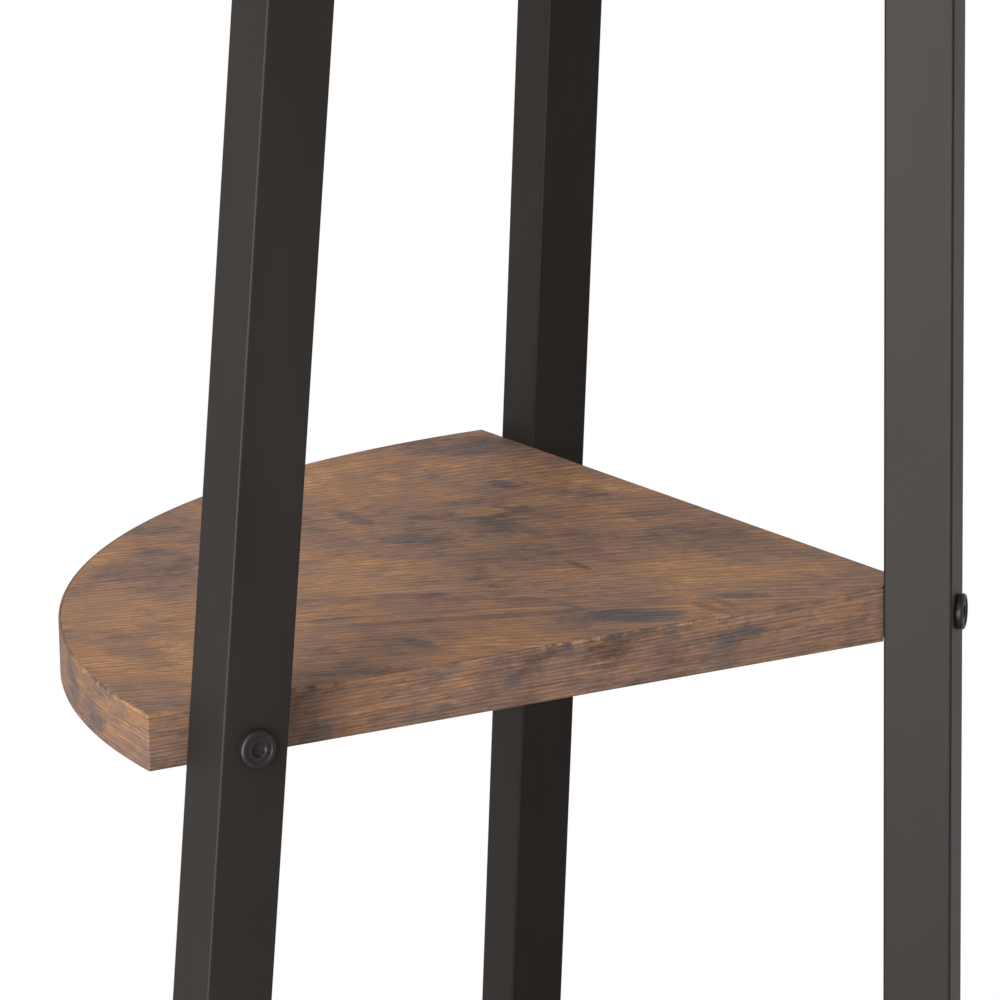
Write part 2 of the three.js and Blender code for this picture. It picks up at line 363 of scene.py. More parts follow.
# Smoky patches, dark splits and warm spots that the photograph shows on its board's face. In millimetres:
# place along and across the grain, half length and half width. Then fall for each mm along, and strength.
SMOKE_MARKS = (
    (44, 220, 5, 9, 0.0, 0.9),
    (121, 205, 5, 16, 0.1, 0.55),
    (73, 203, 13, 5, 0.1, 0.6),
    (120, 163, 11, 8, 0.2, 0.6),
    (80, 166, 7, 10, 0.3, 0.6),
    (110, 19, 16, 11, 0.5, 0.95),
    (192, 27, 4, 8, 0.0, 0.6),
    (62, 20, 9, 5, 0.5, 0.7),
    (25, 145, 10, 7, 0.2, 0.55),
    (28, 104, 22, 26, 0.1, 0.5),
    (193, 230, 12, 7, 0.2, 0.6),
    (232, 178, 18, 16, 0.2, 0.5),
    (160, 48, 42, 3.5, 0.37, 0.6),
    (177, 93, 28, 5, 0.4, 0.35),
    (243, 12, 16, 5, 0.3, 0.45),
    (18, 285, 26, 10, 0.0, 0.5),
    (280, 70, 9, 22, 0.0, 0.35),
)
SPLIT_MARKS = (
    (88, 92, 2, 9, 0.15, 0.9),
    (130, 83, 2, 4, 0.1, 0.7),
    (205, 75, 16, 1.6, 0.22, 0.7),
    (70, 136, 13, 2, 0.2, 0.6),
    (76, 145, 3, 14, 0.2, 0.4),
    (162, 59, 8, 1.6, 0.36, 0.55),
    (82, 12, 3, 11, 0.6, 0.7),
    (74, 14, 2, 10, -0.4, 0.6),
)
WARM_MARKS = (
    (75, 187, 9, 9, 0.1, 0.8),
    (47, 190, 15, 9, 0.1, 0.7),
    (137, 48, 18, 2.6, 0.46, 0.9),
    (123, 62, 16, 3, 0.48, 0.9),
    (118, 101, 4, 10, 0.0, 0.5),
    (122, 78, 26, 13, 0.3, 0.45),
    (92, 50, 20, 8, 0.3, 0.5),
    (152, 92, 22, 6, 0.5, 0.8),
    (62, 52, 52, 26, 0.2, 0.55),
    (270, 135, 28, 30, 0.1, 0.4),
    (160, 120, 45, 22, 0.2, 0.35),
)

FACE_PITCH = 5.6 * MM
BAND_PITCH = 1.4 * MM
PRINT_DEPTH = 0.1 * MM
PRINT_GLOSS = {"Specular IOR Level": 0.07}


def marked(shader, along, across, wobble, marks):
    """How strongly a place on the board is covered by any of the marks, from 0 to 1."""
    cover = 0.0
    for mark_along, mark_across, half_length, half_width, fall, strength in marks:
        ahead = along - mark_along * MM
        aside = across - mark_across * MM - ahead * fall
        away = (ahead / (half_length * MM)) ** 2 + (aside / (half_width * MM)) ** 2 + wobble
        cover = shader.math("MAXIMUM", cover, strength * (1 - shader.rise(away, 0.5, 1.3)))
    return cover


def board_print(shader, boards, place, line, clouds, pitch, life, dullness, cut):
    """Colour, brightness and height of the printed wood.

    place is along and across the grain, line is the distance across the fine lines, about a pitch apart,
    and clouds are the scales of the large clouds. life is how much the tone changes from place to place,
    dullness takes it towards the grey browns, and cut is how dark the lines are.
    """
    along, _, layer = shader.parts(place)
    lines = shader.place(along, line, layer)
    cloud = shader.noise(place, clouds, detail=4.0, roughness=0.6, distortion=0.5)
    patch = shader.noise(place, times(clouds, 3.4), detail=5.0, roughness=0.76)
    streak = shader.noise(lines, (22.0, 0.8 / pitch, 5.0), detail=5.0, roughness=0.72)
    fibre = shader.noise(lines, (110.0, 2.5 / pitch, 5.0), detail=4.0, roughness=0.75)
    dashes = shader.noise(lines, (60.0, 1.4 / pitch, 9.0), detail=3.0, roughness=0.65)
    drift = shader.noise(lines, (5.0, 0.12 / pitch, 5.0))
    tint = shader.noise(lines, (64.0, 0.9 / pitch, 6.0), detail=5.0, roughness=0.7)
    crisp = 1.2 + 1.5 * shader.rise(shader.noise(place, (15.0, 26.0, 7.0)), 0.4, 0.6)
    wave = shader.math("SINE", line * (2 * math.pi / pitch) + 16.0 * drift)
    sawn = (1 - shader.rise(wave, -0.95, 0.3)) * shader.rise(fibre + 0.5 * patch, 0.56, 0.8)
    thread = 1 - shader.rise(shader.math("ABSOLUTE", streak - 0.5), 0.0, 0.03)
    tone = 1.7 * (cloud - 0.5) + 1.4 * (patch - 0.5) + 0.4 * (streak - 0.5) + 0.15 * (fibre - 0.5)
    browns = (boards.deep_brown, boards.grey_brown, boards.brown, boards.orange_brown, boards.tan)
    stops = list(zip((0.06, 0.3, 0.5, 0.7, 0.95), browns))
    shade = shader.ramp(0.5 - dullness + life * tone, stops)
    shade = shader.mix(0.34 * shader.rise(tint, 0.53, 0.65), shade, boards.smoke)
    shade = shader.mix(0.42 * (1 - shader.rise(tint, 0.36, 0.48)), shade, boards.orange_brown)
    dark_lines = 0.3 * sawn + 0.2 * thread + 0.22 * shader.rise(dashes, 0.57, 0.64)
    light = 1.2 + crisp * (fibre - 0.5) + 0.4 * (streak - 0.5) - cut * dark_lines
    height = 0.5 * streak + 0.4 * fibre - 0.3 * thread - 0.2 * sawn
    return shade, light, height


def board_face(shader, boards):
    """Printed face of a panel: fine sawn lines, warm and dull clouds, smoky patches and a few splits."""
    place = shader.grain_place()
    along, across, layer = shader.parts(place)
    wave = shader.noise(place, (9.0, 9.0, 3.0), detail=1.0)
    line = across - along * (0.52 - 1.5 * across) + 0.012 * wave
    clouds = (13.0, 9.0, 3.0)
    shade, light, height = board_print(shader, boards, place, line, clouds, FACE_PITCH, 1.0, 0.0, 1.0)
    smoke_cloud = shader.noise(place, (46.0, 24.0, 4.0), detail=4.0, roughness=0.6, distortion=0.7)
    ragged = shader.place(along * 110.0, line * 300.0, layer)
    wobble = 4.5 * (shader.noise(ragged, (1.0, 1.0, 4.0), detail=4.0, roughness=0.7) - 0.5)
    photographed = {0: layer, 1: float(SHELVES.index(PHOTOGRAPHED_SHELF)), 2: 0.1}
    here = shader.node("ShaderNodeMath", {"operation": "COMPARE"}, photographed)
    kinds = (SMOKE_MARKS, SPLIT_MARKS, WARM_MARKS)
    smoky, torn, warm = (here * marked(shader, along, across, wobble, marks) for marks in kinds)
    drifting = (0.7 - 0.35 * here) * shader.rise(smoke_cloud + 0.12 * wobble, 0.64, 0.73)
    smoke = shader.math("MAXIMUM", drifting, smoky)
    flecks = shader.rise(shader.noise(place, (150.0, 60.0, 4.0), detail=1.0, distortion=0.5), 0.74, 0.8)
    split = shader.math("MAXIMUM", 0.5 * flecks, torn)
    shade = shader.mix(0.5 * warm, shade, boards.tan)
    shade = shader.mix(0.8 * smoke, shade, boards.smoke)
    shade = shader.dim(shader.mix(0.75 * split, shade, boards.deep_brown), light)
    roughness = 0.58 + 0.14 * height + 0.08 * smoke
    shader.surface(shade, roughness, height - 0.6 * split, PRINT_DEPTH, 0.5, PRINT_GLOSS)


def board_band(shader, boards):
    """Edge band: the same print run lengthwise, with a ragged worn line along its upper edge."""
    place = shader.grain_place()
    _, rise, _ = shader.parts(place)
    line = rise + 0.001 * shader.noise(place, (20.0, 30.0, 3.0), detail=1.0)
    clouds = (22.0, 30.0, 3.0)
    shade, light, height = board_print(shader, boards, place, line, clouds, BAND_PITCH, 0.85, 0.12, 1.1)
    smoke_cloud = shader.noise(place, (30.0, 60.0, 4.0), detail=3.0, roughness=0.6, distortion=0.5)
    low = 0.3 * (1 - shader.rise(rise, 4 * MM, 13 * MM))
    ragged = shader.noise(place, (190.0, 300.0, 4.0), detail=4.0, roughness=0.75)
    rubbed = shader.rise(shader.noise(place, (22.0, 10.0, 4.0)), 0.42, 0.62)
    upper = shader.rise(rise + 5.5 * MM * (ragged - 0.5), 18.7 * MM, 19.9 * MM)
    worn = rubbed * shader.rise(ragged, 0.44, 0.58) * upper
    shade = shader.mix(0.75 * shader.rise(smoke_cloud, 0.53, 0.66), shade, boards.smoke)
    shade = shader.mix(low, shade, boards.grey_brown)
    shade = shader.dim(shader.mix(0.65 * worn, shade, boards.seam), 0.86 * light)
    roughness = 0.58 + 0.12 * height + 0.1 * worn
    shader.surface(shade, roughness, height - 0.5 * worn, PRINT_DEPTH, 0.5, PRINT_GLOSS)


def powder_coat(shader, tubes):
    """Satin powder coat: fine orange peel, faint mottling and a little dust in it."""
    place = shader.piece_place()
    mottle = shader.noise(place, (35.0, 35.0, 12.0), detail=3.0)
    peel = shader.noise(place, even(900.0))
    grit = shader.noise(place, even(3200.0), detail=1.0)
    stops = [(0.2, times(tubes.coat, 0.84)), (0.8, times(tubes.coat, 1.18))]
    shade = shader.ramp(0.5 + 0.9 * (mottle - 0.5) + 0.5 * (grit - 0.5), stops)
    gloss = {"Specular IOR Level": 0.075, "Specular Tint": (1.0, 0.93, 0.91, 1.0)}
    shader.surface(shade, 0.47 + 0.1 * mottle, 0.7 * peel + 0.3 * grit, 0.05 * MM, 0.35, gloss)


def black_steel(shader, bolts):
    """Blackened bolt steel, rubbed a little brighter on its raised edges."""
    place = shader.piece_place()
    pores = shader.noise(place, even(1500.0), detail=3.0)
    rub = shader.noise(place, even(260.0), roughness=0.6)
    edge = shader.node("ShaderNodeNewGeometry", {}, {}, "Pointiness")
    worn = shader.rise(edge + 0.06 * (rub - 0.5), 0.53, 0.62)
    shade = shader.mix(0.35 * worn, bolts.black, times(bolts.black, 2.6))
    gloss = {"Metallic": 0.15, "Specular IOR Level": 0.2, "Specular Tint": (1.0, 0.92, 0.91, 1.0)}
    shader.surface(shade, 0.42 + 0.16 * rub - 0.06 * worn, pores, 0.03 * MM, 0.4, gloss)


def zinc_plate(shader, bolts):
    """Zinc plate: cloudy bright steel with fine turning marks."""
    place = shader.piece_place()
    cloud = shader.noise(place, even(160.0), detail=3.0)
    turning = shader.noise(place, (90.0, 90.0, 4200.0), detail=1.0)
    shade = shader.ramp(cloud, [(0.3, times(bolts.zinc, 0.72)), (0.7, bolts.zinc)])
    shader.surface(shade, 0.3 + 0.2 * cloud, turning, 0.02 * MM, 0.4, {"Metallic": 1.0})


def moulded_plastic(shader, tubes):
    """Moulded polymer with a fine spark-eroded texture."""
    place = shader.piece_place()
    grain = shader.noise(place, even(1400.0))
    flow = shader.noise(place, even(60.0))
    stops = [(0.25, times(tubes.plastic, 0.8)), (0.75, times(tubes.plastic, 1.25))]
    shade = shader.ramp(0.6 * flow + 0.4 * grain, stops)
    shader.surface(shade, 0.5 + 0.16 * grain, grain, 0.06 * MM, 0.4, {"Specular IOR Level": 0.45})


# Each finish with the settings that hold its colours
FINISHES = {
    board_face: "shelf_boards",
    board_band: "shelf_boards",
    powder_coat: "shelf_tubes",
    black_steel: "shelf_bolts",
    zinc_plate: "shelf_bolts",
    moulded_plastic: "shelf_tubes",
}


def new_material(name):
    material = bpy.data.materials.new(name)
    material.use_nodes = True
    return material, Shader(material.node_tree)


def give_finish(mesh, finish):
    """Gives the mesh that finish alone. Its material is made the first time it is needed."""
    material = bpy.data.materials.get(finish.__name__)
    if material is None:
        material, shader = new_material(finish.__name__)
        finish(shader, getattr(bpy.context.scene, FINISHES[finish]))
    mesh.materials.clear()
    mesh.materials.append(material)


# Mesh building


def quarter_turn(steps):
    """Angles from 0 to a right angle in even steps."""
    return [math.pi / 2 * i / steps for i in range(steps + 1)]


def ring(radius, height, sides):
    return [
        Vector((radius * math.cos(a), radius * math.sin(a), height))
        for a in (2 * math.pi * i / sides for i in range(sides))
    ]


def rings(levels, sides):
    """Rings about the axis, each from its radius and height."""
    return [ring(radius, height, sides) for radius, height in levels]


def hexagon_ring(flats, height, sides):
    """Points on a hexagon, as many as sides, at even angles. sides is a multiple of 6."""
    points = []
    for point in ring(1.0, height, sides):
        angle = math.atan2(point.y, point.x)
        off = (angle + math.pi / 6) % (math.pi / 3) - math.pi / 6
        reach = flats / 2 / math.cos(off)
        points.append(Vector((point.x * reach, point.y * reach, height)))
    return points


def square_ring(width, depth, radius, steps, height):
    """Rounded rectangle about the axis, anticlockwise, with steps faces round each corner."""
    points = []
    for quarter, (x, y) in enumerate(((1, 1), (-1, 1), (-1, -1), (1, -1))):
        centre = Vector((x * (width / 2 - radius), y * (depth / 2 - radius), height))
        for i in range(steps + 1):
            angle = math.pi / 2 * (quarter + i / steps)
            points.append(centre + radius * Vector((math.cos(angle), math.sin(angle), 0)))
    return points


def loft(name, sections, matrix=Matrix(), ends="both"):
    """New object with faces between rows of equally many points.

    ends is both or first for the rows to fill, or tunnel to join the last row to the first.
    """
    bm = bmesh.new()
    rows = [[bm.verts.new(point) for point in section] for section in sections]
    following = rows[1:] + (rows[:1] if ends == "tunnel" else [])
    for low, high in zip(rows, following):
        for i in range(len(low)):
            j = (i + 1) % len(low)
            bm.faces.new((low[i], low[j], high[j], high[i]))
    if ends != "tunnel":
        bm.faces.new(rows[0][::-1])
    if ends == "both":
        bm.faces.new(rows[-1])
    bmesh.ops.transform(bm, matrix=matrix, verts=bm.verts)
    bmesh.ops.recalc_face_normals(bm, faces=bm.faces)
    mesh = bpy.data.meshes.new(name)
    bm.to_mesh(mesh)
    bm.free()
    made = bpy.data.objects.new(name, mesh)
    bpy.context.scene.collection.objects.link(made)
    return made


def drill(diameter, start, end, matrix):
    """Cylinder to cut with, about the matrix's Z axis."""
    return loft("cutter", rings([(diameter / 2, start), (diameter / 2, end)], HOLE_SIDES), matrix)


def cut_holes(piece, cutters):
    """Cuts the cutters' shapes out of the piece, and removes them."""
    for cutter in cutters:
        modifier = piece.modifiers.new("hole", "BOOLEAN")
        modifier.operation = "DIFFERENCE"
        modifier.solver = "EXACT"
        modifier.object = cutter
    shown = piece.evaluated_get(bpy.context.evaluated_depsgraph_get())
    cut = bpy.data.meshes.new_from_object(shown)
    piece.modifiers.clear()
    piece.data = cut
    for cutter in cutters:
        bpy.data.objects.remove(cutter)


def write_grain(piece, place_of):
    """Keeps each vertex's place on the wood print, for the finishes."""
    grain = piece.data.attributes.new("grain", "FLOAT_VECTOR", "POINT")
    for vertex, item in zip(piece.data.vertices, grain.data):
        item.vector = place_of(vertex.co)


def dress(piece, finish, body, slot, *nodes):
    """Smooths the piece between sharp edges, finishes it, puts it under its body and hides the CAD nodes it
    stands for. slot is not used.
    """
    mesh = piece.data
    mesh.polygons.foreach_set("use_smooth", [True] * len(mesh.polygons))
    mesh.set_sharp_from_angle(angle=SHARP_ANGLE)
    give_finish(mesh, finish)
    weighted = piece.modifiers.new("flat faces stay flat", "WEIGHTED_NORMAL")
    weighted.keep_sharp = True
    weighted.weight = 100
    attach(piece, body)
    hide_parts(*nodes)


class Column:
    """Place of one tube: its foot, the turn that points +Y at the boards, and its lean along X."""

    def __init__(self, side):
        self.side = side
        self.turn = Matrix.Rotation(TURNS[side], 4, "Z")
        self.across = self.turn @ Vector((1, 0, 0))
        low = middle(f"bolt_{side}_1")
        high = middle(f"bolt_{side}_{len(SHELVES)}")
        self.slope = self.across.dot(high - low) / (high.z - low.z)
        centre = middle(TUBE_NODES[side])
        self.foot = Vector((centre.x, centre.y, 0)) - self.across * self.slope * centre.z

    def upright(self, height):
        """Frame on the tube's axis at that height."""
        axis = self.foot + self.across * self.slope * height + Vector((0, 0, height))
        return Matrix.Translation(axis) @ self.turn

    def square_loft(self, name, levels, steps, ends="both"):
        """New square object that leans with the tube, from the width, corner and height of each section."""
        stretch = math.sqrt(1 + self.slope**2)
        sections = [square_ring(width * stretch, width, corner, steps, z) for width, corner, z in levels]
        lean = Matrix.Identity(4)
        lean[0][2] = self.slope
        return loft(name, sections, Matrix.Translation(self.foot) @ self.turn @ lean, ends)

    def bolt_heights(self):
        return [middle(f"bolt_{self.side}_{i + 1}").z for i in range(len(SHELVES))]

    def bore(self, height, diameter, start, end):
        """Cylinder along the column's Y at that height, to cut with."""
        return drill(diameter, start, end, self.upright(height) @ ALONG_Y)

    def stem_axis(self):
        axis = middle(f"{self.side}_foot_stem")
        return Matrix.Translation((axis.x, axis.y, 0))


COLUMNS = [Column(side) for side in TURNS]


class BoardPlan:
    """Plan of one quarter-round board, with its corner cut square to the rear post."""

    ROUND_STEPS = 4
    LEAST_ROUND = 0.05 * MM
    NEAR_EDGE = 1 * MM

    def __init__(self, node, boards):
        low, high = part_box(node)
        self.boards = boards
        self.corner = low.x
        self.bottom = low.z
        self.thickness = high.z - low.z
        self.half = self.bottom + self.thickness / 2
        self.edge = high.x - low.x
        self.centre = self.corner - boards.setback
        self.arc = math.hypot(self.edge + boards.setback, boards.setback)
        self.cut = middle("rear_post").x + box_size("left_leg").y / 2 + GAP

    def outline(self, inset):
        """The outline moved inwards by inset, from the post's cut round the arc and back to the cut."""
        start = self.corner + inset
        near = math.sqrt(2) * (self.cut + inset) - start
        radius = self.arc - inset
        swing = math.asin((start - self.centre) / radius)
        turn = max(self.boards.corner - inset, self.LEAST_ROUND)
        first = Vector((self.centre + radius * math.cos(swing), start))
        half = [Vector((near, start))]
        for i in range(self.ROUND_STEPS + 1):
            t = i / self.ROUND_STEPS
            back = first - Vector((turn, 0)) * (1 - t) ** 2
            half.append(back + Vector((0, turn)) * t**2)
        begin = swing + turn / radius
        sweep = math.pi / 2 - 2 * begin
        steps = self.boards.arc_steps
        arc = []
        for i in range(1, steps):
            angle = begin + sweep * i / steps
            x, y = radius * math.cos(angle), radius * math.sin(angle)
            arc.append(Vector((self.centre + x, self.centre + y)))
        return half + arc + [point.yx for point in reversed(half)]

    def rows(self, profile):
        """Rows of points for a profile of inset and height above the board's underside."""
        made = []
        for inset, height in profile:
            made.append([Vector((*point, self.bottom + height)) for point in self.outline(inset)])
        return made

    def running_length(self, point):
        """Distance along the banded edge: first straight edge, arc, second straight edge."""
        x, y = point.x - self.corner, point.y - self.corner
        reach = self.boards.setback
        swing = math.asin(reach / self.arc)
        if y < self.NEAR_EDGE:
            return x
        if x < self.NEAR_EDGE:
            return 2 * self.edge + self.arc * (math.pi / 2 - 2 * swing) - y
        return self.edge + self.arc * (math.atan2(y + reach, x + reach) - swing)

    def wells(self):
        """Cutters for the barrels in this board's edges."""
        start = box_size("left_leg").y / 2
        end = start + GAP + self.boards.well_depth
        return [column.bore(self.half, self.boards.well, start, end) for column in COLUMNS]


# Pieces


class SHELF_OT_panels(bpy.types.Operator):
    """Make the printed panel of every board"""

    bl_idname = "corner_shelf.add_panels"
    bl_label = "Panels"

    def execute(self, context):
        boards = context.scene.shelf_boards
        for layer, node in enumerate(SHELVES):
            plan = BoardPlan(node, boards)
            rim = boards.band + GLUE
            groove = boards.groove
            top = plan.thickness
            profile = [(rim + groove, 0), (rim, groove), (rim, top - groove), (rim + groove, top)]
            panel = loft(f"{node}_panel", plan.rows(profile))
            cut_holes(panel, plan.wells())

            def on_print(co):
                face = layer if co.z > plan.half else layer + 0.5
                return (co.y - plan.corner, co.x - plan.corner, face)

            write_grain(panel, on_print)
            dress(panel, board_face, "frame", "board", node)
        return {"FINISHED"}


class SHELF_OT_bands(bpy.types.Operator):
    """Make the edge band round every board"""

    bl_idname = "corner_shelf.add_bands"
    bl_label = "Edge Bands"

    ARRIS_STEPS = 4

    def execute(self, context):
        boards = context.scene.shelf_boards
        for layer, node in enumerate(SHELVES):
            plan = BoardPlan(node, boards)
            sections = zip(*plan.rows(self.profile(plan.thickness, boards)))
            band = loft(f"{node}_band", sections)
            cut_holes(band, plan.wells())
            write_grain(band, lambda co: (plan.running_length(co), co.z - plan.bottom, layer + 0.3))
            dress(band, board_band, "frame", "board", node)
        return {"FINISHED"}

    def profile(self, top, boards):
        """Section of the band: flat inside, with a rounded arris below and above."""
        radius = boards.arris
        turn = quarter_turn(self.ARRIS_STEPS)
        lower = [(radius * (1 - math.sin(a)), radius * (1 - math.cos(a))) for a in turn]
        upper = [(inset, top - height) for inset, height in reversed(lower)]
        return [(boards.band, 0), *lower, *upper, (boards.band, top)]


class SHELF_OT_tubes(bpy.types.Operator):
    """Make the two leaning legs and the rear post"""

    bl_idname = "corner_shelf.add_tubes"
    bl_label = "Tubes"

    def execute(self, context):
        tubes = context.scene.shelf_tubes
        inner = tubes.side - 2 * tubes.wall
        reach = tubes.side / 2 + OVERCUT
        for column in COLUMNS:
            node = TUBE_NODES[column.side]
            bottom, top = heights(node)
            outside = [(tubes.side, tubes.corner, z) for z in (bottom, top)]
            inside = [(inner, tubes.inner_corner, z) for z in (top, bottom)]
            tube = column.square_loft(f"{node}_tube", outside + inside, tubes.corner_steps, "tunnel")
            cut_holes(tube, [column.bore(z, tubes.hole, -reach, reach) for z in column.bolt_heights()])
            dress(tube, powder_coat, "frame", "tube", node)
        return {"FINISHED"}


class SHELF_OT_caps(bpy.types.Operator):
    """Make the top caps and the foot plugs of the tubes"""

    bl_idname = "corner_shelf.add_caps"
    bl_label = "Caps and Plugs"

    CROWN_STEPS = 5

    def execute(self, context):
        tubes = context.scene.shelf_tubes
        hole = context.scene.shelf_feet.stem + 2 * GAP
        for column in COLUMNS:
            side = column.side
            bottom, top = heights(TUBE_NODES[side])
            low, high = heights(f"{side}_top_cap")
            levels = self.cap_levels(tubes, low, high, top + GAP)
            cap = column.square_loft(f"{side}_cap", levels, tubes.corner_steps)
            dress(cap, moulded_plastic, "frame", "plastic", f"{side}_top_cap")
            low, high = heights(f"{side}_foot_plug")
            levels = self.plug_levels(tubes, low, high, bottom - GAP)
            plug = column.square_loft(f"{side}_plug", levels, tubes.corner_steps)
            cut_holes(plug, [drill(hole, low - OVERCUT, high + OVERCUT, column.stem_axis())])
            dress(plug, moulded_plastic, "frame", "plastic", f"{side}_foot_plug")
        return {"FINISHED"}

    def spigot_levels(self, tubes, end, start, flange):
        """Spigot inside the tube, from its eased free end to the flange."""
        inner = tubes.side - 2 * tubes.wall - 2 * GAP
        return [
            (inner - SPIGOT_CORNER, SPIGOT_CORNER / 2, end),
            (inner, SPIGOT_CORNER, start),
            (inner, SPIGOT_CORNER, flange),
        ]

    def cap_levels(self, tubes, low, high, flange):
        """Spigot, flange with an upright rim, and a crown that bends in to a nearly flat top."""
        side = tubes.side
        crown = tubes.cap_crown
        brow = high - crown
        levels = self.spigot_levels(tubes, low, low + SPIGOT_CORNER, flange)
        levels.append((side - 2 * tubes.cap_ease, tubes.corner, flange))
        levels.append((side, tubes.corner, flange + tubes.cap_ease))
        for angle in quarter_turn(self.CROWN_STEPS):
            inset = crown * (1 - math.cos(angle))
            levels.append((side - 2 * inset, tubes.corner, brow + 0.8 * crown * math.sin(angle)))
        levels.append((side / 2, tubes.corner, high - 0.08 * crown))
        levels.append((side / 4, tubes.corner, high))
        return levels

    def plug_levels(self, tubes, low, high, flange):
        """Flange with a rounded lower edge, and the spigot above it."""
        side = tubes.side
        edge = tubes.plug_edge
        levels = [
            (side - 2 * edge, tubes.corner, low),
            (side - 0.6 * edge, tubes.corner, low + 0.3 * edge),
            (side, tubes.corner, low + edge),
            (side, tubes.corner, flange),
        ]
        return levels + self.spigot_levels(tubes, high, high - SPIGOT_CORNER, flange)[::-1]


class SHELF_OT_bolts(bpy.types.Operator):
    """Make the bolts that hold the boards to the tubes"""

    bl_idname = "corner_shelf.add_bolts"
    bl_label = "Bolts"

    BEVEL_STEPS = 4

    def execute(self, context):
        sections = self.sections(context.scene.shelf_bolts)
        under_head = Matrix.Translation((0, -context.scene.shelf_tubes.side / 2 - GAP, 0))
        for column in COLUMNS:
            for i, height in enumerate(column.bolt_heights()):
                seat = column.upright(height) @ under_head @ ALONG_Y
                bolt = loft(f"{column.side}_bolt_{i + 1}", sections, seat)
                dress(bolt, black_steel, "frame", "bolt", f"bolt_{column.side}_{i + 1}")
        return {"FINISHED"}

    def sections(self, bolts):
        """Pan head below zero with a dish and a hexagon socket, and the shank above it."""
        face = -bolts.head_height
        floor = face + bolts.dish_depth
        bottom = face + bolts.socket_depth
        radius = bolts.head / 2
        shank = bolts.shank / 2
        tip = box_size("bolt_left_1").y - bolts.head_height
        socket = bolts.socket / math.sqrt(3)
        crest = floor - bolts.ring_height
        made = rings([(TIP, bottom + 0.5 * MM)], BOLT_SIDES)
        for height in (bottom, floor + 0.4 * MM):
            made.append(hexagon_ring(bolts.socket, height, BOLT_SIDES))
        # Raised ring round the socket, then the dish's floor and its sloping wall
        levels = [
            (socket, floor),
            (socket + 0.2 * MM, crest),
            (socket + 0.5 * MM, crest),
            (socket + 0.8 * MM, floor),
            (bolts.dish_floor / 2, floor),
            (bolts.dish_floor / 2 + 0.4 * MM, floor - 0.08 * MM),
            (bolts.dish / 2 - 0.35 * MM, face + 0.06 * MM),
            (bolts.dish / 2, face),
        ]
        for angle in quarter_turn(self.BEVEL_STEPS):
            inset = bolts.bevel * (1 - math.sin(angle))
            levels.append((radius - inset, face + bolts.bevel * (1 - math.cos(angle))))
        levels += [
            (radius, -bolts.seat_ease),
            (radius - bolts.seat_ease, 0),
            (shank, 0),
            (shank, tip - CHAMFER),
            (shank - CHAMFER, tip),
        ]
        return made + rings(levels, BOLT_SIDES)


class SHELF_OT_barrels(bpy.types.Operator):
    """Plate the threaded barrels in the boards' edges"""

    bl_idname = "corner_shelf.plate_barrels"
    bl_label = "Barrels"

    def execute(self, context):
        for name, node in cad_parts.items():
            if name.startswith("barrel_"):
                give_finish(node.data, zinc_plate)
        return {"FINISHED"}


